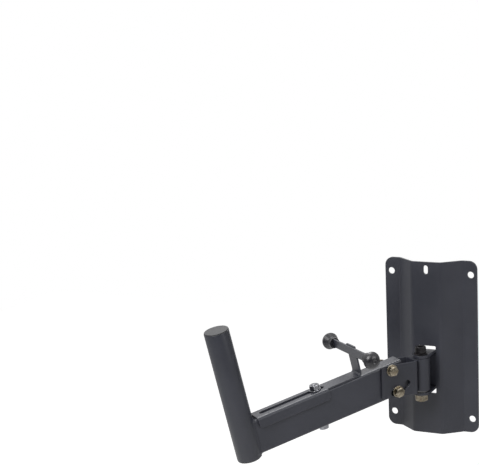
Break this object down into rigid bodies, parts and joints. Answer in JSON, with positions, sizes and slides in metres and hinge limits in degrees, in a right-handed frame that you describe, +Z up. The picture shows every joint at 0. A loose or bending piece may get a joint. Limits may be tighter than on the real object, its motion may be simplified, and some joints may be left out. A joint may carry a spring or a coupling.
{
  "type": "speaker wall bracket",
  "caption": "Pressed wall plate with a swivelling, tilting box-section arm that carries an upright round pole, and a sliding brace with rubber bumpers.",
  "frame": {"origin": "centre of the rectangle of wall holes, on the wall, at the back of the plate's flanges", "axes": "+X right along the wall, +Y into the wall, +Z up"},
  "size_m": [0.2896, 0.3152, 0.258],
  "materials": {
    "black_coat": "satin black powder coat",
    "black_steel": "blackened steel",
    "bare_steel": "machined",
    "yellow_zinc": "yellow passivated zinc",
    "bright_zinc": "bright zinc",
    "black_plastic": "moulded, matt",
    "black_rubber": "moulded, satin"
  },
  "bodies": {
    "wall": {"wall_plate": "black_coat", "hinge_bracket": "black_coat", "swivel_bolt": "black_steel", "swivel_washer_upper": "black_steel", "swivel_washer_lower": "yellow_zinc", "swivel_nut": "yellow_zinc"},
    "yoke": {"yoke": "black_coat", "swivel_tube": "black_coat", "swivel_bush": "bare_steel", "tilt_pivot_bolt": "yellow_zinc", "tilt_pivot_washer_right": "yellow_zinc", "tilt_pivot_washer_left": "yellow_zinc", "tilt_pivot_nut": "yellow_zinc"},
    "arm": {"arm_tube": "black_coat", "pole_tube": "black_coat", "pole_top_cap": "black_plastic", "pole_bottom_plug": "black_plastic", "tilt_lock_bolt": "yellow_zinc", "tilt_lock_washer_right": "yellow_zinc", "tilt_lock_washer_left": "yellow_zinc", "tilt_lock_nut": "yellow_zinc", "brace_clamp_bolt": "bright_zinc", "brace_clamp_washer_upper": "bright_zinc", "brace_clamp_washer_lower": "bright_zinc", "brace_clamp_nut": "bright_zinc"},
    "brace": {"brace_strap": "black_coat", "brace_crossbar": "black_coat", "bumper_right": "black_rubber", "bumper_left": "black_rubber"}
  },
  "joints": [
    {"name": "swivel", "type": "hinge", "parent": "wall", "child": "yoke", "pos_m": [0, -0.0534, -0.0308], "axis": [0, 0, 1], "range_deg": [-25, 104]},
    {"name": "tilt", "type": "hinge", "parent": "yoke", "child": "arm", "pos_m": [-0.03633, -0.09732, -0.013], "axis": [0.7705, -0.6374, 0], "range_deg": [-12.5, 32.5]},
    {"name": "brace_slide", "type": "slide", "parent": "arm", "child": "brace", "axis": [0.6223, 0.7522, 0.2164], "range_m": [0, 0.045]}
  ]
}
